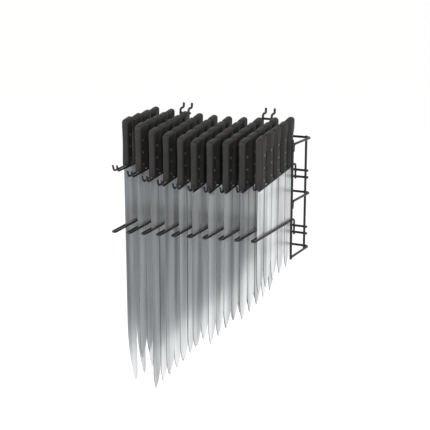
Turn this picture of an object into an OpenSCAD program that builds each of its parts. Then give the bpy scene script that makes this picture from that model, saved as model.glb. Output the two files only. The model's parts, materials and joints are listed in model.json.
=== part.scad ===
// Machete rack: a wall rack of bent and welded wire that holds ten columns of machetes.
// X runs to the right, Y runs into the wall and Z runs up, all in millimetres.
// The origin lies on the face of the wall, midway between the two hook brackets,
// at the height of the centre line of the hooks.

/* [Wire] */
// Diameter of the wire of the frame
frame_wire_d = 6; // [5:0.5:7]
// Diameter of the wire of the prongs and the guide loops
prong_wire_d = 5; // [4:0.5:6]
// Depth by which two welded wires sink into each other
weld_bite = 0.1; // [0.05:0.01:0.12]
// Chamfer on the cut end of a wire
wire_chamfer = 0.6; // [0.3:0.1:1]

/* [Frame] */
// Distance from one column of machetes to the next
col_pitch = 43; // [38:1:60]
// Distance from the last column to the rear upright beside it
side_margin = 33.5; // [28:0.5:60]
// Distance from a rear upright to the side of the hoops
hoop_overhang = 9; // [9:0.5:14]
// Distance from the wall to the middle of a guard upright
guard_depth = 119; // [90:1:150]
// Height of the hooks above the top hoop
hook_drop = 52; // [46:1:80]
// Distance from one hoop to the next
hoop_pitch = 141; // [132:1:180]
// Bend radius of the hoops at their two rear corners
hoop_corner_r = 9; // [7:0.5:9]
// Bend radius of the two upper hoops at their front ends
hoop_end_r = 8; // [7:0.5:12]
// Length of the end of an upper hoop that is bent down behind a guard upright
hoop_end_drop = 18; // [15:1:24]
// Height of a guard upright above the top hoop
guard_rise = 12; // [6:1:24]
// Depth of the lower end of a guard upright below the bottom hoop
guard_drop = 5; // [4:0.5:12]
// Length of an upright or a cross wire past the last wire that it is welded to
wire_overrun = 5; // [4:0.5:8]

/* [Cross wires] */
// Height of the support cross wire above the middle hoop
support_wire_h = 56; // [50:1:62]
// Depth of the guide cross wire below the middle hoop
guide_wire_drop = 90.5; // [82:0.5:96]
// Distance between the two cross wires of a pair
cross_pair_pitch = 17.5; // [14:0.5:22]

/* [Hook brackets] */
// Distance between the two wires of a hook bracket
bracket_w = 24.5; // [20:0.5:26]
// Distance from the hooks down to the short bar of a hook bracket
bracket_bar_drop = 13; // [13:0.5:24]
// Bend radius of a hook where it enters the wall
hook_in_r = 8; // [6:0.5:8.5]
// Bend radius of a hook where it turns up inside the wall
hook_up_r = 6; // [5:0.5:8]
// Straight length of a hook between its two bends
hook_run = 5; // [3:0.5:8]
// Straight length of the upturned end of a hook
hook_tip = 7; // [5:0.5:12]

/* [Support prongs] */
// Room between a hook bracket's wire and each of the two legs beside it
slot_clear = 0.5; // [0.4:0.1:2]
// Height of the prongs and the loops above their upper cross wire
leg_rise = 19; // [19:1:28]
// Bend radius at the rear of a prong or a loop
leg_bend_r = 8; // [6:0.5:8]
// Length of a prong in front of the front machete of a full column
prong_margin = 5; // [5:0.5:14]
// Bend radius of the upturned tip of a prong
tip_bend_r = 8; // [6:0.5:10]
// Length of the upturned tip of a prong, from the corner of its bend
tip_rise = 16; // [15:1:30]
// Angle by which the upturned tip leans to the front
tip_lean = 20; // [0:1:30]
// Drop of the rear ends of the loaded prongs in the first and the last column
prong_drop_side = 2; // [0:0.5:8]
// Drop of the rear ends of the loaded prongs in the middle columns
prong_drop_mid = 10; // [0:0.5:10]
// Further sag of the loaded prongs at the tip, in the first column
prong_sag_left = 15; // [0:1:30]
// Further sag of the loaded prongs at the tip, in the middle columns
prong_sag_mid = 38; // [0:1:45]
// Further sag of the loaded prongs at the tip, in the last column
prong_sag_right = 28; // [0:1:40]

/* [Guide loops] */
// Distance between the two wires of a guide loop
loop_pitch = 10; // [9.5:0.5:12]
// Length of a guide loop past the tip of the prongs
loop_reach = 17; // [8:1:24]
// Drop of the rear end of the first guide loop, which falls to nothing at the last one
loop_drop_left = 10; // [0:0.5:10]
// Further sag of the first guide loop at its front
loop_sag_left = 15; // [0:1:24]
// Further sag of the last guide loop at its front
loop_sag_right = 2; // [0:1:24]

/* [Machetes] */
// Gap between one blade and the blade behind it
row_gap = 1; // [0.6:0.1:3]
// Gap between the rear blade and the wires behind it
rear_gap = 8; // [4:0.5:12]
// Gap between a handle and the prongs that it rests on
rest_gap = 0.3; // [0.2:0.1:0.5]
// Length of a handle along its rear edge
handle_l = 119; // [110:1:130]
// Width of a handle, from front to back
handle_w = 30; // [27:1:30]
// Thickness of a handle
handle_t = 20; // [18:0.5:24]
// Radius of the four long edges of a handle
handle_edge_r = 5; // [3:0.5:7]
// Height by which the lower end of a handle slopes down to the front
foot_slope = 6; // [3:0.5:8]
// Height by which the butt slopes down to the front
butt_slope = 8; // [4:0.5:12]
// Distance by which the butt flares out at the rear
butt_flare = 6; // [3:0.5:6]
// Height of the flared part of a handle
butt_h = 48; // [40:1:60]
// Radius of the corners of the butt, seen from the side
butt_r = 6; // [4:0.5:9]
// Radius of the corners of the butt, seen from the front
butt_front_r = 5; // [3:0.5:7]
// Distance from the front edge of a blade to the front of its handle
handle_inset = 2; // [1:0.5:4]
// Thickness of a blade
blade_t = 2; // [1.5:0.1:2.6]
// Width of the tang inside a handle
tang_w = 18; // [14:0.5:20]
// Length of the tang inside a handle
tang_l = 98; // [90:1:100]
// Gap between the tang and its slot
tang_clear = 0.15; // [0.1:0.05:0.3]
// Diameter of a rivet
rivet_d = 6; // [4:0.5:8]
// Height of a rivet's head above the handle
rivet_proud = 0.5; // [0.3:0.1:1]
// Gap between a rivet and its hole
rivet_clear = 0.05; // [0.03:0.01:0.1]
// Distance from the foot of a handle to the lowest rivet
rivet_first = 13; // [10:1:18]
// Distance from one rivet to the next
rivet_pitch = 30; // [20:1:30]

/* [Hidden] */
$fn = 36;
COLUMNS = 10;
SIDES = [-1, 1];
// Machetes in each column, from the left
rows = [4, 5, 5, 5, 5, 5, 5, 5, 5, 5];
// Width of the blunt end of a blade's point
tip_flat = 1;
// The curves of a point reach past the edges of the blade by this much, and cross them cleanly
curve_lap = 0.05;
// Width of the blades of each column
blade_widths = [43, 36, 37, 38, 39, 41, 41, 41, 41, 41];
// Length of the blades of each column, from the handle to the point
blade_lengths = [604, 508, 577, 520, 468, 418, 402, 355, 331, 266];
// The first column holds the pattern with a long belly, and the rest a short point
LONG_POINTS = 1;
// Distance of the point from the front edge, as a share of the blade's width
long_point_at = 0.8;
short_point_at = 0.3;
// Height of the curve at the front and the rear of each pattern's point
long_point_front = 180;
long_point_rear = 14;
short_point_front = 50;
short_point_rear = 70;
// Straight steps in a round corner that is drawn point by point
CORNER_STEPS = 6;
// Overlap that makes a cut run clean through a face
cut = 1;
// Room above the butt for the shape that rounds its corners, seen from the front
butt_clear = 0.3;
// A bend is thicker than the straight wire by this much, and the straights end inside it
bend_swell = 0.04;
bend_lap = 0.3;

// Middle of the layer of wires that lies against the wall
wall_layer_y = -frame_wire_d / 2;
// Middle of the frame wires that are welded in front of that layer
front_layer_y = wall_layer_y - frame_wire_d + weld_bite;
// Middle of the legs that are welded in front of the cross wires
leg_y = wall_layer_y - (frame_wire_d + prong_wire_d) / 2 + weld_bite;
// Front of all the wires at the back of the rack
rear_face_y = front_layer_y - frame_wire_d / 2;
// Distances between the two wires of a pair, and from the middle to a rear upright and a hoop
pair_pitch = frame_wire_d + prong_wire_d + 2 * slot_clear;
upright_x = (COLUMNS - 1) / 2 * col_pitch + side_margin;
hoop_x = upright_x + hoop_overhang;
// The inner wire of a hook bracket runs between the two legs of the third column from the side
bracket_x = 2.5 * col_pitch;

top_hoop_z = -hook_drop;
middle_hoop_z = top_hoop_z - hoop_pitch;
bottom_hoop_z = middle_hoop_z - hoop_pitch;
support_wire_z = middle_hoop_z + support_wire_h;
guide_wire_z = middle_hoop_z - guide_wire_drop;
// Length of a leg from its lower end to the start of its bend
leg_l = wire_overrun + cross_pair_pitch + leg_rise - leg_bend_r;
// The deepest column sets the length of the prongs
column_depths = [for (c = [1:COLUMNS]) rows[c - 1] * (blade_widths[c - 1] + row_gap) - row_gap];
prong_y = rear_face_y - rear_gap - max(column_depths) - prong_margin;
loop_y = prong_y - loop_reach;

function column_x(c) = (c - (COLUMNS + 1) / 2) * col_pitch;
// Place of a column across the rack, from -1 at the first to 1 at the last
function column_side(c) = (2 * c - COLUMNS - 1) / (COLUMNS - 1);
// A value that runs on a smooth curve through those of the first, the middle and the last column
function across(c, first, middle, last) = middle + column_side(c) * (last - first) / 2
    + pow(column_side(c), 2) * ((first + last) / 2 - middle);
function prong_drop(c) = across(c, prong_drop_side, prong_drop_mid, prong_drop_side);
function prong_sag(c) = across(c, prong_sag_left, prong_sag_mid, prong_sag_right);
function loop_drop(c) = loop_drop_left * (1 - column_side(c)) / 2;
function loop_sag(c) = loop_sag_left + (loop_sag_right - loop_sag_left) * (column_side(c) + 1) / 2;
// Slope of a wire that leaves its bend at the rear and sags towards its front end
function slope(sag, front_y) = atan(sag / (leg_y - leg_bend_r - front_y));
// Where the straight run starts, past the bend at the rear, for a leg that ends at wire_z
function run_start_y(a) = leg_y - leg_bend_r * (1 + sin(a));
function run_start_z(a, wire_z) = wire_z + leg_rise - leg_bend_r * (1 - cos(a));
// Height of the middle of a prong, and of its upper side, at a place along it
function prong_z(c, y) = let (a = slope(prong_sag(c), prong_y))
    run_start_z(a, support_wire_z) - prong_drop(c) - (run_start_y(a) - y) * tan(a);
function prong_top_z(c, y) = prong_z(c, y) + prong_wire_d / 2 / cos(slope(prong_sag(c), prong_y));

// Middle of the blade in a row, counted from the rear, and of the handle above it
function blade_y(c, r) = rear_face_y - rear_gap - blade_widths[c - 1] / 2
    - (r - 1) * (blade_widths[c - 1] + row_gap);
function handle_y(c, r) = blade_y(c, r) - (blade_widths[c - 1] - handle_w) / 2 + handle_inset;
// Lower rear corner of a handle, whose sloping foot rests on the prongs at its rear or its front
function handle_z(c, r) = rest_gap + max(
    prong_top_z(c, handle_y(c, r) + handle_w / 2),
    prong_top_z(c, handle_y(c, r) - handle_w / 2) + foot_slope
);
// Slope of the foot of a handle, and of its butt
foot_a = atan(foot_slope / handle_w);
butt_a = atan(butt_slope / (handle_w + butt_flare));

function hundredths(x) = round(100 * x) / 100;
function names(stem) = [for (c = [1:COLUMNS]) str(stem, c)];

// A stretch of wire from one height to another, with a chamfer on each end that is cut off
module wire_stretch(d, from, to, cut_from, cut_to) {
    low = from + (cut_from ? wire_chamfer : 0);
    high = to - (cut_to ? wire_chamfer : 0);
    translate([0, 0, low]) cylinder(d = d, h = high - low);
    if (cut_from) translate([0, 0, from])
        cylinder(d1 = d - 2 * wire_chamfer, d2 = d, h = wire_chamfer);
    if (cut_to) translate([0, 0, high])
        cylinder(d1 = d, d2 = d - 2 * wire_chamfer, h = wire_chamfer);
}

// A straight wire that starts at the origin and runs up
module straight_wire(d, length) {
    wire_stretch(d, 0, length, true, true);
}

// A bend of a wire that arrives going up and turns to -Y, or to +Y when the angle is negative
module wire_bend(d, angle, r) {
    mirror([0, angle < 0 ? 1 : 0, 0])
        translate([0, -r, 0])
        rotate([90, 0, 90])
        rotate_extrude(angle = abs(angle))
        translate([r, 0])
        circle(d = d + bend_swell);
}

// A bent wire. Each step is [straight length, roll about the wire, bend angle, bend radius],
// and the last step is only a straight length. The straights end just inside the bends.
module bent_wire(d, steps, i = 0) {
    first = i == 0;
    last = i == len(steps) - 1;
    length = steps[i][0];
    wire_stretch(d, first ? 0 : -bend_lap, last ? length : length + bend_lap, first, last);
    if (!last) {
        angle = steps[i][2];
        r = steps[i][3];
        side = angle < 0 ? -1 : 1;
        translate([0, 0, length]) rotate([0, 0, steps[i][1]]) {
            wire_bend(d, angle, r);
            translate([0, -side * r * (1 - cos(angle)), r * sin(abs(angle))])
                rotate([angle, 0, 0])
                bent_wire(d, steps, i + 1);
        }
    }
}

module rear_uprights() {
    color("#26292a")
        for (side = SIDES)
            translate([side * upright_x, front_layer_y, bottom_hoop_z - wire_overrun])
            straight_wire(frame_wire_d, 2 * hoop_pitch + 2 * wire_overrun);
}

module guard_upright(side) {
    bottom_z = bottom_hoop_z - guard_drop;
    color("#26292a")
        translate([side * hoop_x, -guard_depth, bottom_z])
        straight_wire(frame_wire_d, top_hoop_z + guard_rise - bottom_z);
}

// An upper hoop: one wire from behind the left guard upright, round the back, to behind the right one
module bent_hoop(z) {
    end_y = -guard_depth + frame_wire_d - weld_bite;
    end_l = hoop_end_drop - hoop_end_r;
    side_l = wall_layer_y - hoop_corner_r - hoop_end_r - end_y;
    steps = [
        [end_l, 0, -90, hoop_end_r],
        [side_l, 90, 90, hoop_corner_r],
        [2 * (hoop_x - hoop_corner_r), 0, 90, hoop_corner_r],
        [side_l, 90, 90, hoop_end_r],
        [end_l]
    ];
    color("#26292a")
        translate([-hoop_x, end_y, z - hoop_end_drop])
        bent_wire(frame_wire_d, steps);
}

// The bottom hoop, whose straight ends are welded to the back of the guard uprights
module flat_hoop(z) {
    end_y = -guard_depth + frame_wire_d / 2 - weld_bite;
    side_l = wall_layer_y - hoop_corner_r - end_y;
    steps = [
        [side_l, 90, 90, hoop_corner_r],
        [2 * (hoop_x - hoop_corner_r), 0, 90, hoop_corner_r],
        [side_l]
    ];
    color("#26292a")
        translate([-hoop_x, end_y, z])
        rotate([-90, 0, 0])
        bent_wire(frame_wire_d, steps);
}

// The two wires that cross the back of the rack between the rear uprights
module cross_wires(z) {
    half = upright_x + wire_overrun;
    color("#26292a")
        for (drop = [0, cross_pair_pitch])
            translate([-half, wall_layer_y, z - drop])
            rotate([0, 90, 0])
            straight_wire(frame_wire_d, 2 * half);
}

// A hook bracket: two upright wires that end in hooks, and the short bar that ties them
module hook_bracket() {
    bottom_z = middle_hoop_z - wire_overrun;
    steps = [
        [-hook_in_r - bottom_z, 0, -90, hook_in_r],
        [hook_run, 0, 90, hook_up_r],
        [hook_tip]
    ];
    color("#26292a") {
        for (x = [bracket_x, bracket_x + bracket_w])
            translate([x, front_layer_y, bottom_z])
            bent_wire(frame_wire_d, steps);
        translate([bracket_x - frame_wire_d / 2, wall_layer_y, -bracket_bar_drop])
            rotate([0, 90, 0])
            straight_wire(frame_wire_d, bracket_w + frame_wire_d);
    }
}

// The two open prongs that a column's handles rest on, with its blades between them
module support_prongs(c) {
    a = slope(prong_sag(c), prong_y);
    turn = 90 - tip_lean + a;
    bend_reach = tip_bend_r * tan(turn / 2);
    steps = [
        [leg_l - prong_drop(c), 0, 90 + a, leg_bend_r],
        [hundredths((run_start_y(a) - prong_y) / cos(a) - bend_reach), 0, -turn, tip_bend_r],
        [hundredths(tip_rise - bend_reach)]
    ];
    color("#26292a")
        for (side = SIDES)
            translate([
                column_x(c) + side * pair_pitch / 2,
                leg_y,
                support_wire_z - cross_pair_pitch - wire_overrun
            ])
            bent_wire(prong_wire_d, steps);
}

// The closed hairpin that keeps a column's blades in line below the handles
module guide_loop(c) {
    a = slope(loop_sag(c), loop_y);
    run = hundredths((run_start_y(a) - loop_y) / cos(a) - loop_pitch / 2);
    steps = [
        [leg_l - loop_drop(c), 0, 90 + a, leg_bend_r],
        [run, -90, 180, loop_pitch / 2],
        [run, 90, 90 + a, leg_bend_r],
        [leg_l - loop_drop(c)]
    ];
    color("#26292a")
        translate([
            column_x(c) + loop_pitch / 2,
            leg_y,
            guide_wire_z - cross_pair_pitch - wire_overrun
        ])
        bent_wire(prong_wire_d, steps);
}

// What lies outside the curve that runs from an edge of the blade, at height h, to the
// point, at distance d from that edge. The corner of the uncut blade is at the origin.
module point_cut(d, h) {
    r = (pow(d, 2) + pow(h, 2)) / (2 * d);
    difference() {
        translate([-cut, -cut]) square([d + 2 * cut, h + cut]);
        translate([r - curve_lap, h]) circle(r = r, $fn = 360);
    }
}

// A blade and its tang, seen from the side. The origin is the lower rear corner of the handle's
// foot, and the shoulders of the blade follow the slope of the foot.
module blade_outline(w, l, point_at, front_h, rear_h) {
    front = -handle_w - handle_inset;
    rear = front + w;
    difference() {
        polygon([[front, -l], [rear, -l], [rear, rear * tan(foot_a)], [front, front * tan(foot_a)]]);
        translate([front, -l]) point_cut(w * point_at - tip_flat / 2, front_h);
        translate([rear, -l]) mirror([1, 0]) point_cut(w * (1 - point_at) - tip_flat / 2, rear_h);
    }
    translate([-(handle_w + tang_w) / 2, -handle_w * tan(foot_a)])
        square([tang_w, tang_l + handle_w * tan(foot_a)]);
}

// Turns a flat shape upright, so that it faces along X and its middle plane is at the origin
module upright_plate(t) {
    rotate([90, 0, 90]) linear_extrude(t, center = true) children();
}

// The rivets that run across a handle, whose lower rear corner is at the origin
module at_rivets() {
    for (i = [0:2])
        translate([0, -handle_w / 2, rivet_first + i * rivet_pitch])
        rotate([0, 90, 0])
        children();
}

// Where the lower rear corner of each of a column's handles lies
module at_handles(c) {
    for (r = [1:rows[c - 1]])
        translate([column_x(c), handle_y(c, r) + handle_w / 2, handle_z(c, r)])
        children();
}

module blades(c) {
    long = c <= LONG_POINTS;
    color("#a3a6a8")
        at_handles(c)
        difference() {
            translate([0, 0, -tang_clear])
                upright_plate(blade_t)
                blade_outline(
                    blade_widths[c - 1], blade_lengths[c - 1],
                    long ? long_point_at : short_point_at,
                    long ? long_point_front : short_point_front,
                    long ? long_point_rear : short_point_rear
                );
            at_rivets() cylinder(d = rivet_d + 2 * rivet_clear, h = blade_t + 2 * cut, center = true);
        }
}

module rounded_rectangle(x, y, r) {
    square([x - 2 * r, y], center = true);
    square([x, y - 2 * r], center = true);
    for (side_x = SIDES, side_y = SIDES)
        translate([side_x * (x / 2 - r), side_y * (y / 2 - r)]) circle(r = r);
}

// The points of a round corner, from one angle to another
function corner(middle, r, from, to) = [
    for (i = [0:CORNER_STEPS])
        let (angle = from + (to - from) * i / CORNER_STEPS)
        middle + r * [cos(angle), sin(angle)]
];

// A handle seen from its side: a sloping foot, and a butt that slopes and flares to the rear
module handle_side() {
    front = -handle_w;
    rear = butt_flare;
    // Height of the butt's straight top at a place from front to back
    function top_z(y) = handle_l - (rear - y) * tan(butt_a);
    function corner_z(y) = top_z(y) - butt_r / cos(butt_a);
    rear_y = rear - butt_r;
    front_y = front + butt_r;
    polygon(concat(
        [[front, front * tan(foot_a)], [0, 0], [0, handle_l - butt_h], [rear, handle_l - butt_h / 2]],
        corner([rear_y, corner_z(rear_y)], butt_r, 0, 90 + butt_a),
        corner([front_y, corner_z(front_y)], butt_r, 90 + butt_a, 180)
    ));
}

// A handle seen from the front, with its two upper corners rounded. The flat top stays just
// clear of the butt, which is cut from the side.
module handle_front() {
    r = butt_front_r;
    top = handle_l + butt_clear;
    low = -2 * foot_slope;
    translate([-handle_t / 2, low]) square([handle_t, top - r - low]);
    translate([-handle_t / 2 + r, low]) square([handle_t - 2 * r, top - low]);
    for (side = SIDES) translate([side * (handle_t / 2 - r), top - r]) circle(r = r);
}

module handle() {
    slot_w = tang_w + 2 * tang_clear;
    slot_t = blade_t + 2 * tang_clear;
    depth = handle_w + butt_flare;
    difference() {
        intersection() {
            translate([0, butt_flare - depth / 2, -2 * foot_slope])
                linear_extrude(handle_l + 2 * foot_slope)
                rounded_rectangle(handle_t, depth, handle_edge_r);
            upright_plate(handle_t + cut) handle_side();
            translate([0, butt_flare, handle_l])
                rotate([90 + butt_a, 0, 0])
                linear_extrude(2 * handle_l, center = true)
                translate([0, -handle_l])
                handle_front();
        }
        translate([-slot_t / 2, -(handle_w + slot_w) / 2, -2 * foot_slope])
            cube([slot_t, slot_w, tang_l + tang_clear + 2 * foot_slope]);
        at_rivets() cylinder(d = rivet_d + 2 * rivet_clear, h = handle_t + 2 * cut, center = true);
    }
}

module handles(c) {
    color("#2e2d2d") at_handles(c) handle();
}

// A rivet with a slightly raised head on each side of the handle
module rivet() {
    cylinder(d = rivet_d, h = handle_t, center = true);
    for (side = SIDES)
        mirror([0, 0, side < 0 ? 1 : 0])
        translate([0, 0, handle_t / 2])
        cylinder(d1 = rivet_d, d2 = rivet_d - 2 * rivet_proud, h = rivet_proud);
}

module rivets(c) {
    color("#8d8a85") at_handles(c) at_rivets() rivet();
}

rear_uprights();
guard_upright(-1);  // guard_upright_left
guard_upright(1);  // guard_upright_right
bent_hoop(top_hoop_z);  // hoop_top
bent_hoop(middle_hoop_z);  // hoop_middle
flat_hoop(bottom_hoop_z);  // hoop_bottom
cross_wires(support_wire_z);  // support_cross_wires
cross_wires(guide_wire_z);  // guide_cross_wires
mirror([1, 0, 0]) hook_bracket();  // hook_bracket_left
hook_bracket();  // hook_bracket_right
for (c = [1:COLUMNS]) {
    support_prongs(c);
    guide_loop(c);
    blades(c);
    handles(c);
    rivets(c);
}
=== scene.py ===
"""Looks of the machete rack: a wall rack of black wire that holds ten columns of machetes.

X runs to the right, Y runs to the rear and Z runs up, in metres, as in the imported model.
The wires and the rivets keep their solids and get a finish. The handles, the blades and the
weld beads are modelled here and stand where the model has them.
"""

import json
import logging
import random
from collections.abc import Callable, Iterator
from contextlib import contextmanager
from dataclasses import dataclass
from enum import Enum
from math import asin, pi, radians, sin, sqrt

import bmesh
import bpy
from mathutils import Matrix, Vector


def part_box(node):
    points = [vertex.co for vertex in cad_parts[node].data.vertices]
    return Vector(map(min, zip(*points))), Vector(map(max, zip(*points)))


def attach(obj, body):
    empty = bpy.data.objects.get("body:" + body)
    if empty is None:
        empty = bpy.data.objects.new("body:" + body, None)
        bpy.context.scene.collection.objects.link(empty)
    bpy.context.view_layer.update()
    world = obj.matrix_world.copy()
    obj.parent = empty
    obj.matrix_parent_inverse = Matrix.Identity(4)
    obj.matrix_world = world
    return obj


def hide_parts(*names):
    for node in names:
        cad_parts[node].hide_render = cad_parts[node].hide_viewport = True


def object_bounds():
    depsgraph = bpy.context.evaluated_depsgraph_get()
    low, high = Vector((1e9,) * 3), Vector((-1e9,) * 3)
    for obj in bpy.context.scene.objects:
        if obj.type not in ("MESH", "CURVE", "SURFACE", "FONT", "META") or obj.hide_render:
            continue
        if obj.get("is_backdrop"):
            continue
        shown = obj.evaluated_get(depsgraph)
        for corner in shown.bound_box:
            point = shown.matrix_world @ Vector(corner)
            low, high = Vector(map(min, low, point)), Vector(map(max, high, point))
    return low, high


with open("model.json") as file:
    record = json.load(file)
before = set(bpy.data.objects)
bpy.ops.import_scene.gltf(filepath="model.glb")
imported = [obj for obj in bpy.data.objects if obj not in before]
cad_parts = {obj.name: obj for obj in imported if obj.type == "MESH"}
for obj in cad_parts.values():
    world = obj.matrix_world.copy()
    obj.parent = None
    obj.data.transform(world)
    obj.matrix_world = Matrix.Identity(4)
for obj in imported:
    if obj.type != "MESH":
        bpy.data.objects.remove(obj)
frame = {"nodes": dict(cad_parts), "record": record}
CAD_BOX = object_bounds()

LOG = logging.getLogger("machete_rack")
COLUMNS = 10
RACK = "rack"
MM = 0.001
# A place, a size or a direction along X, Y and Z.
Triple = tuple[float, float, float]
# Corners that are closer than this along an axis count as level.
NEAR = 0.02 * MM
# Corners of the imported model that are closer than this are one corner.
MERGE = 0.001 * MM
# A face whose normal has more than this along an axis faces that way.
FACING = 0.5
# Nearly all of a noise falls between these values.
NOISE = {"From Min": 0.3, "From Max": 0.7}
# The attribute that holds the tone of each copy in a piece, from 0 to 1.
TONE = "tone"


class Part(Enum):
    """What a selection in edit mode is made of."""

    VERT = "verts"
    EDGE = "edges"
    FACE = "faces"


class Slot(Enum):
    """The material slots of the record that match the finishes of the new pieces."""

    WIRE = "frame_wire"
    STEEL = "blade_steel"
    PLASTIC = "handle_plastic"


class Pattern(Enum):
    """The two patterns of blade: with a long point, and with a short one."""

    LONG = "long"
    SHORT = "short"


@dataclass(frozen=True)
class PointShape:
    """How a blade's point lies between the two curves that lead to it.

    The share is how far it lies from the front edge, as a part of the blade's width.
    """

    share: float
    front_height: float
    rear_height: float


POINTS = {
    Pattern.LONG: PointShape(0.8, 180 * MM, 14 * MM),
    Pattern.SHORT: PointShape(0.3, 50 * MM, 70 * MM),
}


def linear(code: str) -> tuple[float, float, float, float]:
    """Turns an sRGB hex colour into linear light.

    Args:
        code: the colour, such as "#808080".

    Returns:
        Red, green, blue and alpha, from 0 to 1.
    """
    parts = [int(code[i : i + 2], 16) / 255 for i in (1, 3, 5)]
    red, green, blue = (p / 12.92 if p <= 0.04045 else ((p + 0.055) / 1.055) ** 2.4 for p in parts)
    return red, green, blue, 1.0


def add_node(
    tree: bpy.types.NodeTree, kind: str, settings: dict | None = None, links: dict | None = None
) -> bpy.types.Node:
    """Adds a node with its settings and links.

    Args:
        tree: the node tree that takes it.
        kind: the type of the node, without the words that all types start with.
        settings: values by the name or number of an input, or by the name of a property.
        links: output sockets by the name or number of the input that they feed.

    Returns:
        The new node.
    """
    node = tree.nodes.new("ShaderNode" + kind)
    for name, value in (settings or {}).items():
        if isinstance(name, int) or name in node.inputs:
            node.inputs[name].default_value = value
        else:
            setattr(node, name, value)
    for name, socket in (links or {}).items():
        tree.links.new(socket, node.inputs[name])
    return node


def new_material(name: str) -> tuple[bpy.types.Material, bpy.types.NodeTree, bpy.types.Node]:
    """Makes an empty material.

    Args:
        name: the material's name.

    Returns:
        The material, its node tree and its texture coordinates node.
    """
    material = bpy.data.materials.new(name)
    material.use_nodes = True
    material.node_tree.nodes.clear()
    return material, material.node_tree, add_node(material.node_tree, "TexCoord")


def close_material(material: bpy.types.Material, surface: bpy.types.Node) -> bpy.types.Material:
    """Links a shader to the output of a material.

    Args:
        material: the material.
        surface: the shader node.

    Returns:
        The finished material.
    """
    add_node(material.node_tree, "OutputMaterial", links={"Surface": surface.outputs[0]})
    return material


def dress(piece: bpy.types.Object, material: bpy.types.Material) -> None:
    """Puts one material on a whole piece."""
    piece.data.materials.clear()
    piece.data.materials.append(material)


@dataclass(frozen=True)
class PowderCoat:
    """Black powder coat on steel wire, sprayed and baked.

    It is even and nearly black, with a soft sheen and the faint dimples of orange peel.
    """

    name: str = "powder_coat"
    colour: str = "#050607"
    dusty_colour: str = "#0a0c0d"
    dimple: float = 1.6 * MM
    patch: float = 30 * MM
    dimple_height: float = 0.05 * MM
    patch_detail: float = 3.0
    dimple_detail: float = 1.0
    roughness: tuple[float, float] = (0.38, 0.52)
    specular: float = 0.35
    ior: float = 1.5

    def build(self) -> bpy.types.Material:
        """Makes the material.

        Returns:
            The powder coat.
        """
        material, tree, place = new_material(self.name)
        here = place.outputs["Object"]
        patches = add_node(
            tree,
            "TexNoise",
            {"Scale": 1 / self.patch, "Detail": self.patch_detail},
            {"Vector": here},
        )
        dimples = add_node(
            tree,
            "TexNoise",
            {"Scale": 1 / self.dimple, "Detail": self.dimple_detail},
            {"Vector": here},
        )
        colour = add_node(
            tree,
            "Mix",
            {"data_type": "RGBA", 6: linear(self.colour), 7: linear(self.dusty_colour)},
            {0: patches.outputs["Fac"]},
        )
        low, high = self.roughness
        gloss = add_node(
            tree,
            "MapRange",
            {**NOISE, "To Min": low, "To Max": high},
            {"Value": patches.outputs["Fac"]},
        )
        bump = add_node(
            tree, "Bump", {"Distance": self.dimple_height}, {"Height": dimples.outputs["Fac"]}
        )
        surface = add_node(
            tree,
            "BsdfPrincipled",
            {"IOR": self.ior, "Specular IOR Level": self.specular},
            {
                "Base Color": colour.outputs[2],
                "Roughness": gloss.outputs["Result"],
                "Normal": bump.outputs["Normal"],
            },
        )
        return close_material(material, surface)


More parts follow.
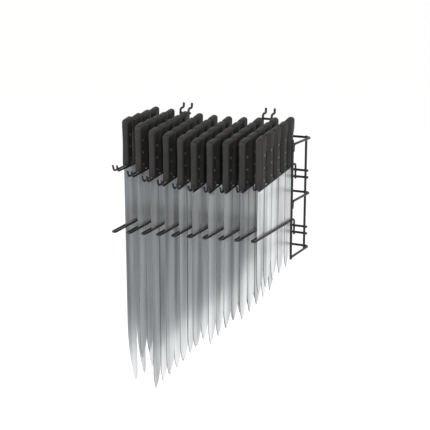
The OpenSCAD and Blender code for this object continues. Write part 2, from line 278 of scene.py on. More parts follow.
@dataclass(frozen=True)
class BladeSteel:
    """Carbon steel sheet, ground along the blade with a belt and wiped with oil.

    It is a pale, soft metal: fine lines run along the blade, and the rolled sheet waves a little,
    which draws upright bands. The cut edges keep their dark scale, and the same dark colour on the
    narrow faces also stands for painted shade in the gaps between the blades. The lines are drawn
    wider than a belt's grit leaves them, so that they show.
    """

    name: str = "ground_steel"
    colour: str = "#9fa2a5"
    pale_colour: str = "#dadcde"
    # Dark scale on the cut edges, which also stands for painted shade in the gaps between the
    # blades.
    scale_and_shade_colour: str = "#5e6061"
    line_width: float = 1.1 * MM
    line_length: float = 70 * MM
    wave_width: float = 26 * MM
    wave_length: float = 380 * MM
    line_height: float = 0.01 * MM
    wave_height: float = 0.7 * MM
    detail: float = 1.0
    tone_spread: float = 0.12
    tones: tuple[float, float] = (0.36, 0.72)
    scale_and_shade_from: tuple[float, float] = (0.3, 0.6)
    roughness: tuple[float, float] = (0.3, 0.42)
    metallic: float = 0.75

    def streaks(
        self, tree: bpy.types.NodeTree, here: bpy.types.NodeSocket, width: float, length: float
    ) -> bpy.types.NodeSocket:
        """Draws a noise that is stretched along the blade.

        Args:
            tree: the node tree.
            here: the Object coordinates.
            width: the width of a streak.
            length: the length of a streak.

        Returns:
            The noise.
        """
        drawn_out = add_node(
            tree, "Mapping", {"Scale": (1.0, 1.0, width / length)}, {"Vector": here}
        )
        noise = add_node(
            tree,
            "TexNoise",
            {"Scale": 1 / width, "Detail": self.detail},
            {"Vector": drawn_out.outputs["Vector"]},
        )
        return noise.outputs["Fac"]

    def build(self) -> bpy.types.Material:
        """Makes the material.

        Returns:
            The blade steel.
        """
        material, tree, place = new_material(self.name)
        here = place.outputs["Object"]
        lines = self.streaks(tree, here, self.line_width, self.line_length)
        waves = self.streaks(tree, here, self.wave_width, self.wave_length)
        each = add_node(tree, "Attribute", {"attribute_name": TONE}).outputs["Fac"]
        toned = add_node(
            tree, "Math", {"operation": "MULTIPLY_ADD", 1: self.tone_spread}, {0: each, 2: waves}
        )
        share = add_node(
            tree,
            "MapRange",
            {"From Min": self.tones[0], "From Max": self.tones[1]},
            {"Value": toned.outputs["Value"]},
        )
        colour = add_node(
            tree,
            "Mix",
            {"data_type": "RGBA", 6: linear(self.colour), 7: linear(self.pale_colour)},
            {0: share.outputs["Result"]},
        )
        # Painted shade: faces turned to the front or the rear, the narrow edges, take the dark
        # scale colour, which also stands for the shade in the gaps between the blades.
        facing = add_node(
            tree, "SeparateXYZ", links={0: add_node(tree, "NewGeometry").outputs["True Normal"]}
        )
        across = facing.outputs["Y"]
        scale_and_shade_facing = add_node(tree, "Math", {"operation": "MULTIPLY"}, {0: across, 1: across})
        scale_and_shade_share = add_node(
            tree,
            "MapRange",
            {"From Min": self.scale_and_shade_from[0], "From Max": self.scale_and_shade_from[1]},
            {"Value": scale_and_shade_facing.outputs["Value"]},
        )
        finish = add_node(
            tree,
            "Mix",
            {"data_type": "RGBA", 7: linear(self.scale_and_shade_colour)},
            {0: scale_and_shade_share.outputs["Result"], 6: colour.outputs[2]},
        )
        low, high = self.roughness
        gloss = add_node(
            tree,
            "MapRange",
            {**NOISE, "To Min": low, "To Max": high},
            {"Value": lines},
        )
        wavy = add_node(tree, "Bump", {"Distance": self.wave_height}, {"Height": waves})
        lined = add_node(
            tree,
            "Bump",
            {"Distance": self.line_height},
            {"Height": lines, "Normal": wavy.outputs["Normal"]},
        )
        surface = add_node(
            tree,
            "BsdfPrincipled",
            {"Metallic": self.metallic},
            {
                "Base Color": finish.outputs[2],
                "Roughness": gloss.outputs["Result"],
                "Normal": lined.outputs["Normal"],
            },
        )
        return close_material(material, surface)


@dataclass(frozen=True)
class MouldedPlastic:
    """Black polypropylene, injection moulded in a spark-eroded mould.

    It is a warm near-black with a dull, finely grained skin, a little shinier where hands rub.
    The grain is drawn coarser than a mould leaves it, so that it shows.
    """

    name: str = "moulded_polypropylene"
    colour: str = "#0f0e0d"
    rubbed_colour: str = "#1c1a18"
    grain: float = 0.7 * MM
    patch: float = 26 * MM
    grain_height: float = 0.04 * MM
    patch_detail: float = 4.0
    tones: tuple[float, float] = (0.3, 1.7)
    roughness: tuple[float, float] = (0.5, 0.66)
    specular: float = 0.3
    ior: float = 1.49

    def build(self) -> bpy.types.Material:
        """Makes the material.

        Returns:
            The moulded plastic.
        """
        material, tree, place = new_material(self.name)
        here = place.outputs["Object"]
        patches = add_node(
            tree,
            "TexNoise",
            {"Scale": 1 / self.patch, "Detail": self.patch_detail},
            {"Vector": here},
        )
        grain = add_node(tree, "TexVoronoi", {"Scale": 1 / self.grain}, {"Vector": here})
        each = add_node(tree, "Attribute", {"attribute_name": TONE}).outputs["Fac"]
        toned = add_node(
            tree, "Math", {"operation": "ADD"}, {0: patches.outputs["Fac"], 1: each}
        )
        share = add_node(
            tree,
            "MapRange",
            {"From Min": self.tones[0], "From Max": self.tones[1]},
            {"Value": toned.outputs["Value"]},
        )
        colour = add_node(
            tree,
            "Mix",
            {"data_type": "RGBA", 6: linear(self.colour), 7: linear(self.rubbed_colour)},
            {0: share.outputs["Result"]},
        )
        low, high = self.roughness
        gloss = add_node(
            tree,
            "MapRange",
            {**NOISE, "To Min": high, "To Max": low},
            {"Value": patches.outputs["Fac"]},
        )
        bump = add_node(
            tree, "Bump", {"Distance": self.grain_height}, {"Height": grain.outputs["Distance"]}
        )
        surface = add_node(
            tree,
            "BsdfPrincipled",
            {"IOR": self.ior, "Specular IOR Level": self.specular},
            {
                "Base Color": colour.outputs[2],
                "Roughness": gloss.outputs["Result"],
                "Normal": bump.outputs["Normal"],
            },
        )
        return close_material(material, surface)


@dataclass(frozen=True)
class RivetAluminium:
    """Aluminium rivet, headed by a press and left bare.

    It is a pale, dull metal with small scratches, drawn coarse enough to show.
    """

    name: str = "rivet_aluminium"
    colour: str = "#7d7a74"
    dull_colour: str = "#4e4c48"
    scratch: float = 0.9 * MM
    scratch_height: float = 0.02 * MM
    detail: float = 4.0
    roughness: tuple[float, float] = (0.42, 0.6)

    def build(self) -> bpy.types.Material:
        """Makes the material.

        Returns:
            The rivet aluminium.
        """
        material, tree, place = new_material(self.name)
        scratches = add_node(
            tree,
            "TexNoise",
            {"Scale": 1 / self.scratch, "Detail": self.detail},
            {"Vector": place.outputs["Object"]},
        )
        colour = add_node(
            tree,
            "Mix",
            {"data_type": "RGBA", 6: linear(self.colour), 7: linear(self.dull_colour)},
            {0: scratches.outputs["Fac"]},
        )
        low, high = self.roughness
        gloss = add_node(
            tree,
            "MapRange",
            {"To Min": low, "To Max": high},
            {"Value": scratches.outputs["Fac"]},
        )
        bump = add_node(
            tree, "Bump", {"Distance": self.scratch_height}, {"Height": scratches.outputs["Fac"]}
        )
        surface = add_node(
            tree,
            "BsdfPrincipled",
            {"Metallic": 1.0},
            {
                "Base Color": colour.outputs[2],
                "Roughness": gloss.outputs["Result"],
                "Normal": bump.outputs["Normal"],
            },
        )
        return close_material(material, surface)


@contextmanager
def editing(piece: bpy.types.Object) -> Iterator[None]:
    """Opens a piece in edit mode, and closes it afterwards.

    Args:
        piece: the mesh object.

    Yields:
        Nothing.
    """
    take(piece)
    bpy.ops.object.mode_set(mode="EDIT")
    yield
    bpy.ops.object.mode_set(mode="OBJECT")


def take(*taken: bpy.types.Object) -> None:
    """Selects objects alone and makes the first one active.

    Args:
        taken: the objects.
    """
    bpy.ops.object.select_all(action="DESELECT")
    for piece in taken:
        piece.select_set(True)
    bpy.context.view_layer.objects.active = taken[0]


def pick(part: Part, test: Callable) -> None:
    """Selects what passes a test in the mesh that is open, and nothing else.

    Args:
        part: what the selection is made of.
        test: takes a vertex, an edge or a face and says whether it is selected.
    """
    bpy.ops.mesh.select_mode(type=part.name)
    bpy.ops.mesh.select_all(action="DESELECT")
    mesh = bmesh.from_edit_mesh(bpy.context.active_object.data)
    for element in getattr(mesh, part.value):
        if test(element):
            element.select_set(True)
    mesh.select_flush_mode()
    bmesh.update_edit_mesh(bpy.context.active_object.data)


def bisect(at: Triple, facing: Triple) -> None:
    """Cuts the whole mesh that is open by a plane, and keeps both sides.

    Args:
        at: a point on the plane.
        facing: the plane's normal.
    """
    bpy.ops.mesh.select_all(action="SELECT")
    bpy.ops.mesh.bisect(plane_co=at, plane_no=facing)


def add_block(name: str, size: Triple, centre: Triple) -> bpy.types.Object:
    """Adds a block as the start of a piece.

    Args:
        name: the piece's name.
        size: its size along X, Y and Z.
        centre: its centre.

    Returns:
        The block.
    """
    bpy.ops.mesh.primitive_cube_add(size=1, location=centre, scale=size)
    block = bpy.context.active_object
    block.name = name
    settle(block)
    return block


def settle(piece: bpy.types.Object) -> None:
    """Moves a piece's place into its mesh, so that its object sits at the origin."""
    take(piece)
    bpy.ops.object.transform_apply(location=True, rotation=True, scale=True)


def copy_to(
    piece: bpy.types.Object, place: Vector, turn: Matrix | None = None
) -> bpy.types.Object:
    """Copies a piece that is modelled at the origin.

    Args:
        piece: the piece to copy.
        place: where its origin goes.
        turn: how it is turned about its origin.

    Returns:
        The copy, with a mesh of its own.
    """
    copy = piece.copy()
    copy.data = piece.data.copy()
    bpy.context.scene.collection.objects.link(copy)
    copy.matrix_world = Matrix.Translation(place) @ (turn or Matrix.Identity(4))
    settle(copy)
    return copy


def tone(copies: list[bpy.types.Object], seed: int) -> None:
    """Gives each copy a tone of its own, which its finish reads.

    Args:
        copies: the copies.
        seed: the number that the tones are drawn from.
    """
    chance = random.Random(seed)
    for copy in copies:
        values = [chance.random()] * len(copy.data.vertices)
        copy.data.attributes.new(TONE, "FLOAT", "POINT").data.foreach_set("value", values)


def join(name: str, copies: list[bpy.types.Object]) -> bpy.types.Object:
    """Joins copies into one piece.

    Args:
        name: the name of the piece.
        copies: what it is made of.

    Returns:
        The piece.
    """
    take(*copies)
    bpy.ops.object.join()
    piece = bpy.context.active_object
    piece.name = name
    piece.data.name = name
    return piece


def smooth(piece: bpy.types.Object, angle: float) -> None:
    """Shades a piece smooth wherever its faces meet at less than an angle."""
    take(piece)
    bpy.ops.object.shade_smooth_by_angle(angle=angle)


def solid_boxes(node: str) -> list[tuple[Vector, Vector]]:
    """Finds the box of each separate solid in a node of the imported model.

    Args:
        node: the node's name.

    Returns:
        The lowest and highest corner of each solid, from the rear to the front.
    """
    mesh = bmesh.new()
    mesh.from_mesh(frame["nodes"][node].data)
    bmesh.ops.remove_doubles(mesh, verts=mesh.verts, dist=MERGE)
    left = set(mesh.verts)
    boxes = []
    while left:
        to_visit = [left.pop()]
        low = to_visit[0].co.copy()
        high = low.copy()
        while to_visit:
            vert = to_visit.pop()
            low = Vector(map(min, low, vert.co))
            high = Vector(map(max, high, vert.co))
            reached = {edge.other_vert(vert) for edge in vert.link_edges} & left
            left -= reached
            to_visit.extend(reached)
        boxes.append((low, high))
    mesh.free()
    return sorted(boxes, key=lambda box: -box[0].y)


@dataclass
class Handle:
    """A moulded handle with its butt up. Its origin is the lower rear corner of its foot."""

    thickness: float = 20 * MM
    width: float = 30 * MM
    length: float = 119 * MM
    foot_slope: float = 6 * MM
    butt_slope: float = 8 * MM
    flare: float = 6 * MM
    flare_height: float = 48 * MM
    edge_radius: float = 9 * MM
    butt_radius: float = 8.4 * MM
    foot_bevel: float = 0.8 * MM
    waist_at: float = 0.42
    waist: float = 1.4 * MM
    rings: int = 12
    highest_ring: float = 102 * MM
    parting: float = 0.35 * MM
    rivet_from_foot: float = 13 * MM
    rivet_pitch: float = 30 * MM
    rivets: int = 3
    seat_radius: float = 4.4 * MM
    seat_depth: float = 0.7 * MM
    seat_sides: int = 24
    round_steps: int = 5
    fine_steps: int = 2
    end_facing: float = 0.8
    smooth_below: float = radians(32)

    @property
    def foot_rise(self) -> float:
        """How much the foot rises for each unit of length to the rear."""
        return self.foot_slope / self.width

    def narrowing(self, z: float) -> float:
        """Finds how much thinner the handle is at a height than at its ends.

        Args:
            z: a height above the foot.

        Returns:
            The difference in thickness.
        """
        share = z / self.length
        if share < self.waist_at:
            bend = share / self.waist_at
        else:
            bend = (1 - share) / (1 - self.waist_at)
        return self.waist * sin(max(0.0, bend) * pi / 2) ** 2

    def flared(self, z: float) -> float:
        """Finds how far the rear of the handle stands out at a height.

        Args:
            z: a height above the foot.

        Returns:
            How far it stands out.
        """
        share = 2 * (z - self.length + self.flare_height) / self.flare_height
        share = min(1.0, max(0.0, share))
        return self.flare * share**2 * (3 - 2 * share)

    def build(self) -> bpy.types.Object:
        """Models the handle.

        Returns:
            The handle.
        """
        size = (self.thickness, self.width, self.length)
        handle = add_block("handle", size, (0, -self.width / 2, self.length / 2))
        with editing(handle):
            heights = [self.highest_ring * i / self.rings for i in range(self.rings + 1)]
            for z in heights[1:]:
                bisect((0, 0, z), (0, 0, 1))
            for z in heights + [self.length]:
                self.shape_ring(z)
            pick(Part.VERT, lambda v: v.co.z > self.length - NEAR and v.co.y < -self.width / 2)
            bpy.ops.transform.translate(value=(0, 0, -self.butt_slope))
            pick(Part.VERT, lambda v: abs(v.co.z) < NEAR and v.co.y < -self.width / 2)
            bpy.ops.transform.translate(value=(0, 0, -self.foot_slope))
            self.round_edges()
            self.part()
        self.seat_rivets(handle)
        smooth(handle, self.smooth_below)
        return handle

    def shape_ring(self, z: float) -> None:
        """Draws in the sides and the front of the handle at a height, and flares its rear.

        Args:
            z: a height above the foot.
        """
        thin = 1 - self.narrowing(z) / self.thickness
        pick(Part.VERT, lambda v: abs(v.co.z - z) < NEAR)
        bpy.ops.transform.resize(value=(thin, 1, 1), center_override=(0, 0, 0))
        pick(Part.VERT, lambda v: abs(v.co.z - z) < NEAR and v.co.y < -self.width / 2)
        bpy.ops.transform.translate(value=(0, self.narrowing(z) / 2, 0))
        pick(Part.VERT, lambda v: abs(v.co.z - z) < NEAR and v.co.y > -self.width / 2)
        bpy.ops.transform.translate(value=(0, self.flared(z), 0))

    def round_edges(self) -> None:
        """Rounds the four long edges, the butt and the foot."""
        pick(Part.EDGE, lambda e: abs(e.verts[0].co.z - e.verts[1].co.z) > self.butt_slope + NEAR)
        bpy.ops.mesh.bevel(offset=self.edge_radius, segments=self.round_steps, affect="EDGES")
        pick(Part.EDGE, lambda e: self.rims(e, 1))
        bpy.ops.mesh.bevel(offset=self.butt_radius, segments=self.round_steps, affect="EDGES")
        pick(Part.EDGE, lambda e: self.rims(e, -1))
        bpy.ops.mesh.bevel(offset=self.foot_bevel, segments=self.fine_steps, affect="EDGES")

    def rims(self, edge: bmesh.types.BMEdge, end: int) -> bool:
        """Says whether an edge goes round an end face of the handle.

        Args:
            edge: an edge.
            end: 1 for the butt, and -1 for the foot.

        Returns:
            Whether one of its two faces is that end, and the other is a side.
        """
        facing = sorted(end * face.normal.z for face in edge.link_faces)
        return facing[-1] > self.end_facing and facing[0] < FACING

    def part(self) -> None:
        """Draws the groove that the two halves of the mould leave round the handle."""
        bisect((0, 0, 0), (1, 0, 0))
        pick(Part.EDGE, lambda e: all(abs(v.co.x) < NEAR for v in e.verts))
        bpy.ops.mesh.bevel(offset=self.parting, segments=self.fine_steps, affect="EDGES")
        pick(Part.VERT, lambda v: abs(v.co.x) < NEAR and v.co.z > self.foot_bevel)
        bpy.ops.transform.shrink_fatten(value=-self.parting)

    def seat_rivets(self, handle: bpy.types.Object) -> None:
        """Sinks a shallow round seat for each rivet head into both sides.

        Args:
            handle: the handle.
        """
        seats = []
        for side in (-1, 1):
            for i in range(self.rivets):
                z = self.rivet_from_foot + i * self.rivet_pitch
                surface = (self.thickness - self.narrowing(z)) / 2
                bpy.ops.mesh.primitive_cone_add(
                    vertices=self.seat_sides,
                    radius1=self.seat_radius - self.seat_depth,
                    radius2=self.seat_radius + self.seat_depth,
                    depth=2 * self.seat_depth,
                    location=(side * surface, -self.width / 2, z),
                    rotation=(0, side * pi / 2, 0),
                )
                seats.append(bpy.context.active_object)
                settle(seats[-1])
        cutter = join("rivet_seats", seats)
        take(handle)
        cut = handle.modifiers.new("seats", "BOOLEAN")
        cut.operation = "DIFFERENCE"
        cut.solver = "EXACT"
        cut.object = cutter
        bpy.ops.object.modifier_apply(modifier=cut.name)
        bpy.data.objects.remove(cutter)


@dataclass
class Blade:
    """A blade with its point down. Its origin is the lower rear corner of its handle's foot."""

    pattern: Pattern
    front: float
    width: float
    length: float
    rise: float
    thickness: float = 2 * MM
    tang_middle: float = -15 * MM
    tang_width: float = 18 * MM
    tang_length: float = 12 * MM
    grind: float = 7 * MM
    grind_from: float = 22 * MM
    widest_grind: float = 0.6
    edge_thickness: float = 0.5 * MM
    spine_bevel: float = 0.3 * MM
    arc_steps: int = 9
    tip_flat: float = 1 * MM
    bevel_steps: int = 2
    place_digits: int = 6
    smooth_below: float = radians(20)

    @property
    def edge_side(self) -> int:
        """The side of the cutting edge: -1 at the front, and 1 at the rear."""
        return -1 if self.pattern is Pattern.LONG else 1

    @property
    def middle(self) -> float:
        """The place of the middle of the blade's width."""
        return self.front + self.width / 2

    def curve(self, side: int) -> tuple[float, float]:
        """Finds the curve from one edge of the blade to its point.

        Args:
            side: -1 for the front edge, and 1 for the rear edge.

        Returns:
            The height and the radius of the curve.
        """
        point = POINTS[self.pattern]
        share = point.share if side < 0 else 1 - point.share
        height = point.front_height if side < 0 else point.rear_height
        across = self.width * share - self.tip_flat / 2
        return height, (across**2 + height**2) / (2 * across)

    def edge_y(self, side: int, z: float) -> float:
        """Finds where an edge lies across the blade.

        Args:
            side: -1 for the front edge, and 1 for the rear edge.
            z: a height, which is negative.

        Returns:
            The place across the blade.
        """
        height, radius = self.curve(side)
        below = max(0.0, height - self.length - z)
        return self.middle + side * (self.width / 2 - radius + sqrt(radius**2 - below**2))

    def on_edge(self, vert: bmesh.types.BMVert, side: int) -> bool:
        """Says whether a corner lies on an edge of the blade.

        Args:
            vert: the corner.
            side: -1 for the front edge, and 1 for the rear edge.

        Returns:
            Whether it lies on that edge, and not above the shoulder.
        """
        return vert.co.z < NEAR and abs(vert.co.y - self.edge_y(side, vert.co.z)) < NEAR

    def ground_y(self, z: float) -> float:
        """Finds where the grind ends on the flat of the blade.

        Args:
            z: a height, which is negative.

        Returns:
            The place across the blade.
        """
        edge = self.edge_y(self.edge_side, z)
        across = abs(edge - self.edge_y(-self.edge_side, z))
        return edge - self.edge_side * min(self.grind, self.widest_grind * across)

    def heights(self) -> list[float]:
        """Lists the heights at which the blade has a ring of corners.

        Returns:
            The heights, from the shoulder down.
        """
        found = {0.0, -self.grind_from, -self.length}
        for side in (-1, 1):
            height, radius = self.curve(side)
            full = asin(height / radius)
            turns = [full * i / self.arc_steps for i in range(self.arc_steps)]
            found |= {height - radius * sin(turn) - self.length for turn in turns}
        return sorted(found, reverse=True)

    def build(self) -> bpy.types.Object:
        """Models the blade and the start of its tang.

        Returns:
            The blade.
        """
        size = (self.thickness, self.width, self.length)
        blade = add_block("blade", size, (0, self.middle, -self.length / 2))
        with editing(blade):
            ground = self.ground_y(0)
            bisect((0, ground, 0), (0, 1, 0))
            for z in self.heights()[1:-1]:
                bisect((0, 0, z), (0, 0, 1))
            self.draw_tang()
            for z in self.heights():
                for side in (-1, 1):
                    self.shift(z, self.middle + side * self.width / 2, self.edge_y(side, z))
                self.shift(z, ground, self.ground_y(z))
            self.grind_edge()
            self.slope_shoulder()
        smooth(blade, self.smooth_below)
        return blade

    def draw_tang(self) -> None:
        """Draws the start of the tang up from the shoulder."""
        pick(Part.FACE, lambda f: f.normal.z > FACING)
        share = self.tang_width / self.width
        centre = (0, (self.tang_middle - share * self.middle) / (1 - share), 0)
        bpy.ops.mesh.extrude_region_move()
        bpy.ops.transform.resize(value=(1, share, 1), center_override=centre)
        bpy.ops.mesh.extrude_region_move(
            TRANSFORM_OT_translate={"value": (0, 0, self.tang_length)}
        )

    def shift(self, z: float, y: float, new_y: float) -> None:
        """Moves the corners at one place across the blade.

        Args:
            z: their height.
            y: their place across the blade.
            new_y: where they go.
        """
        if abs(new_y - y) > NEAR:
            pick(Part.VERT, lambda v: abs(v.co.z - z) < NEAR and abs(v.co.y - y) < NEAR)
            bpy.ops.transform.translate(value=(0, new_y - y, 0))

    def grind_edge(self) -> None:
        """Grinds both faces thin towards the cutting edge, and breaks the corners of the spine."""
        side = self.edge_side
        pick(Part.VERT, lambda v: v.co.z < NEAR - self.grind_from and self.on_edge(v, side))
        thin = self.edge_thickness / self.thickness
        bpy.ops.transform.resize(value=(thin, 1, 1), center_override=(0, 0, 0))
        pick(
            Part.EDGE,
            lambda e: abs(e.verts[0].co.z - e.verts[1].co.z) > NEAR
            and all(self.on_edge(v, -side) for v in e.verts),
        )
        bpy.ops.mesh.bevel(offset=self.spine_bevel, segments=self.bevel_steps, affect="EDGES")

    def slope_shoulder(self) -> None:
        """Slopes the shoulder and the root of the tang down to the front, as the foot does."""
        mesh = bmesh.from_edit_mesh(bpy.context.active_object.data)
        at_shoulder = [v.co.y for v in mesh.verts if abs(v.co.z) < NEAR]
        for y in {round(y, self.place_digits) for y in at_shoulder}:
            pick(Part.VERT, lambda v, y=y: abs(v.co.z) < NEAR and abs(v.co.y - y) < NEAR)
            bpy.ops.transform.translate(value=(0, 0, self.rise * y))


@dataclass
class Column:
    """One column of machetes: its handles, blades and rivets move together."""

    number: int
    long_patterns: int = 1
    twist_degrees: float = 1.5
    shoulder_gap: float = 0.15 * MM

    @property
    def body(self) -> str:
        """The body that the column rides on."""
        return f"machetes_{self.number}"

    def build(
        self,
        shape: Handle,
        handle: bpy.types.Object,
        plastic: bpy.types.Material,
        steel: bpy.types.Material,
        rivet: bpy.types.Material,
    ) -> None:
        """Models and dresses the column.

        Args:
            shape: the sizes of the handle.
            handle: the handle to copy.
            plastic: the finish of the handles.
            steel: the finish of the blades.
            rivet: the finish of the rivets.
        """
        corners = [
            Vector(((low.x + high.x) / 2, low.y + shape.width, low.z + shape.foot_slope))
            for low, high in solid_boxes(f"handles_{self.number}")
        ]
        copies = [copy_to(handle, corner) for corner in corners]
        tone(copies, self.number)
        handles = join(f"moulded_handles_{self.number}", copies)
        self.finish(handles, f"handles_{self.number}", plastic, Slot.PLASTIC)
        blades = self.build_blades(corners, shape.foot_rise)
        self.finish(blades, f"blades_{self.number}", steel, Slot.STEEL)
        dress(frame["nodes"][f"rivets_{self.number}"], rivet)

    def build_blades(self, corners: list[Vector], rise: float) -> bpy.types.Object:
        """Models the column's blades.

        Args:
            corners: the lower rear corner of each handle's foot.
            rise: how much the foot rises for each unit of length to the rear.

        Returns:
            The blades.
        """
        chance = random.Random(self.number)
        low, high = solid_boxes(f"blades_{self.number}")[0]
        shoulder = corners[0] - Vector((0, 0, self.shoulder_gap))
        pattern = Pattern.LONG if self.number <= self.long_patterns else Pattern.SHORT
        shape = Blade(pattern, low.y - shoulder.y, high.y - low.y, shoulder.z - low.z, rise)
        blade = shape.build()
        middle = Matrix.Translation((0, shape.middle, 0))
        copies = []
        for corner in corners:
            twist = radians(chance.uniform(-self.twist_degrees, self.twist_degrees))
            turn = middle @ Matrix.Rotation(twist, 4, "Z") @ middle.inverted()
            copies.append(copy_to(blade, corner - Vector((0, 0, self.shoulder_gap)), turn))
        bpy.data.objects.remove(blade)
        tone(copies, COLUMNS + self.number)
        return join(f"ground_blades_{self.number}", copies)

    def finish(
        self, piece: bpy.types.Object, node: str, material: bpy.types.Material, slot: Slot
    ) -> None:
        """Dresses a piece and puts it in the place of its node.

        Args:
            piece: the new piece.
            node: the node that it stands for.
            material: its finish.
            slot: the record's slot for that finish; not used.
        """
        dress(piece, material)
        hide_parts(node)
        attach(piece, self.body)


@dataclass
class Welds:
    """The small beads that the welds squeeze out where two wires cross."""

    frame_radius: float = 3 * MM
    prong_radius: float = 2.5 * MM
    radii: Triple = (4.1 * MM, 1.5 * MM, 4.1 * MM)
    seam_radii: Triple = (3.0 * MM, 1.5 * MM, 5.4 * MM)
    segments: int = 14
    roughening: float = 0.22 * MM
    seam_drop: float = 13 * MM
    shapes: int = 4
    smooth_below: float = radians(70)

    def bead(self, radii: Triple, seed: int) -> bpy.types.Object:
        """Models one bead: a flat drop with a lumpy skin.

        Args:
            radii: half of its size along X, Y and Z.
            seed: the number that its lumps are drawn from.

        Returns:
            The bead.
        """
        bpy.ops.mesh.primitive_uv_sphere_add(
            segments=self.segments, ring_count=self.segments // 2, radius=1, scale=radii
        )
        bead = bpy.context.active_object
        settle(bead)
        with editing(bead):
            bpy.ops.mesh.select_all(action="SELECT")
            bpy.ops.transform.vertex_random(offset=self.roughening, seed=seed)
        smooth(bead, self.smooth_below)
        return bead

    def build(self, coat: bpy.types.Material) -> None:
        """Models all the beads and joins them into one piece.

        Args:
            coat: the finish of the wires.
        """
        beads = [self.bead(self.radii, seed) for seed in range(self.shapes)]
        seam = self.bead(self.seam_radii, self.shapes)
        places = list(self.crossings())
        copies = [copy_to(beads[i % self.shapes], place) for i, place in enumerate(places)]
        copies += [copy_to(seam, place) for place in self.seams()]
        for shape in beads + [seam]:
            bpy.data.objects.remove(shape)
        welds = join("weld_beads", copies)
        dress(welds, coat)
        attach(welds, RACK)

    def hoop_height(self, name: str) -> float:
        """Finds the height of the rear run of a hoop."""
        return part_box(f"hoop_{name}")[1][2] - self.frame_radius

    def heights(self, node: str) -> list[float]:
        """Finds the heights of the two wires of a pair that crosses the back."""
        low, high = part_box(node)
        return [low[2] + self.frame_radius, high[2] - self.frame_radius]

    @staticmethod
    def sides(node: str, radius: float) -> list[float]:
        """Finds where the outer wires of a node stand, from left to right."""
        low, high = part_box(node)
        return [low[0] + radius, high[0] - radius]

    def crossings(self) -> Iterator[Vector]:
        """Finds the middle of each weld at the back.

        Yields:
            The place where the two wires touch.
        """
        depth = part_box("support_cross_wires")[0][1]
        hoops = [self.hoop_height(name) for name in ("top", "middle", "bottom")]
        support, guide = self.heights("support_cross_wires"), self.heights("guide_cross_wires")
        crossed = [(self.sides("rear_uprights", self.frame_radius), hoops + support + guide)]
        for side in ("left", "right"):
            wires = self.sides(f"hook_bracket_{side}", self.frame_radius)
            crossed.append((wires, hoops[:2] + support))
        for column in range(1, COLUMNS + 1):
            crossed.append((self.sides(f"support_prongs_{column}", self.prong_radius), support))
            crossed.append((self.sides(f"guide_loop_{column}", self.prong_radius), guide))
        for wires, heights in crossed:
            for x in wires:
                for z in heights:
                    yield Vector((x, depth, z))

    def seams(self) -> Iterator[Vector]:
        """Finds the middle of each weld between the hoops and the guard uprights.

        Yields:
            The place where the two wires touch.
        """
        for side in ("left", "right"):
            low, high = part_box(f"guard_upright_{side}")
            x = (low[0] + high[0]) / 2
            for name in ("top", "middle"):
                yield Vector((x, high[1], self.hoop_height(name) - self.seam_drop))


@dataclass(frozen=True)
class Lamp:
    """A large soft lamp, with its power in watts."""

    name: str
    place: Triple
    power: float
    size: float = 1.8
    target: Triple = (0.0, -0.1, -0.3)

    def build(self) -> None:
        """Hangs the lamp and turns it to the rack."""
        aim = (Vector(self.target) - Vector(self.place)).to_track_quat("-Z", "Y").to_euler()
        bpy.ops.object.light_add(type="AREA", location=self.place, rotation=aim)
        lamp = bpy.context.active_object
        lamp.name = self.name
        lamp.data.size = self.size
        lamp.data.energy = self.power


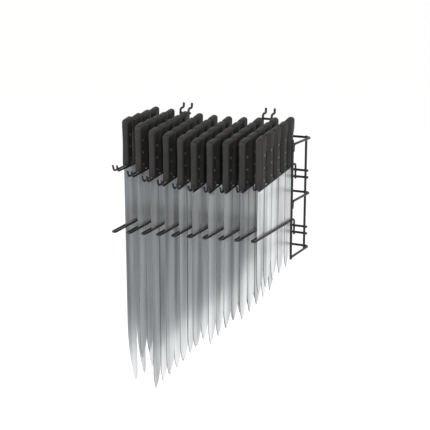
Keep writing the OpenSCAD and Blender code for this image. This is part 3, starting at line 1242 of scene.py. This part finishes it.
@dataclass
class Studio:
    """The plain room that the rack is shown in, with its angles in degrees."""

    camera_place: Triple = (1.09715, -2.22557, 0.34594)
    pitch_down: float = 13.255
    turned_left: float = 26.935
    focal_px: float = 958.97
    axis_px: tuple[float, float] = (215.0, 200.0)
    image_px: float = 430.0
    sensor: float = 36.0
    floor_z: float = -1.25
    floor_size: float = 3000.0
    floor_colour: str = "#f4f4f3"
    floor_roughness: float = 0.9
    sky_colour: str = "#ffffff"
    sky_strength: float = 1.1
    lamps: tuple[Lamp, ...] = (
        Lamp("side_lamp", (-1.5, -2.3, 0.9), 60.0),
        Lamp("front_lamp", (1.8, -1.8, 0.7), 40.0),
    )

    def build(self) -> None:
        """Places the camera, the floor and the lights."""
        self.place_camera()
        self.lay_floor()
        self.light()

    def place_camera(self) -> None:
        """Places the camera and sets its axis in the picture."""
        bpy.ops.object.camera_add(
            location=self.camera_place,
            rotation=(radians(90 - self.pitch_down), 0, radians(self.turned_left)),
        )
        camera = bpy.context.active_object
        camera.name = "camera"
        camera.data.sensor_width = self.sensor
        camera.data.lens = self.focal_px / self.image_px * self.sensor
        camera.data.shift_x = 0.5 - self.axis_px[0] / self.image_px
        camera.data.shift_y = self.axis_px[1] / self.image_px - 0.5
        camera.data.clip_end = self.floor_size
        bpy.context.scene.camera = camera

    def lay_floor(self) -> None:
        """Lays the pale floor."""
        bpy.ops.mesh.primitive_plane_add(size=self.floor_size, location=(0, 0, self.floor_z))
        floor = bpy.context.active_object
        floor.name = "floor"
        material, tree, _ = new_material("pale_floor")
        surface = add_node(
            tree,
            "BsdfPrincipled",
            {"Base Color": linear(self.floor_colour), "Roughness": self.floor_roughness},
        )
        dress(floor, close_material(material, surface))
        floor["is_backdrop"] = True

    def light(self) -> None:
        """Lights the rack with a white sky and the lamps."""
        world = bpy.data.worlds.new("sky")
        world.use_nodes = True
        world.node_tree.nodes.clear()
        sky = add_node(
            world.node_tree,
            "Background",
            {"Color": linear(self.sky_colour), "Strength": self.sky_strength},
        )
        add_node(world.node_tree, "OutputWorld", links={"Surface": sky.outputs[0]})
        bpy.context.scene.world = world
        bpy.context.scene.view_settings.view_transform = "Standard"
        for lamp in self.lamps:
            lamp.build()


def main() -> None:
    """Builds the scene and reports each part of it."""
    logging.basicConfig(level=logging.INFO, format="%(name)s: %(message)s")
    bpy.ops.object.select_all(action="DESELECT")
    Studio().build()
    coat = PowderCoat().build()
    plastic = MouldedPlastic().build()
    steel = BladeSteel().build()
    rivet = RivetAluminium().build()
    for node in frame["record"]["behaviour"]["bodies"][RACK]:
        dress(frame["nodes"][node], coat)
    Welds().build(coat)
    LOG.info("dressed and welded the wires")
    shape = Handle()
    handle = shape.build()
    for number in range(1, COLUMNS + 1):
        Column(number).build(shape, handle, plastic, steel, rivet)
        LOG.info("built column %d", number)
    bpy.data.objects.remove(handle)
    [[list(corner) for corner in box] for box in (CAD_BOX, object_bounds())]


if __name__ == "__main__":
    main()
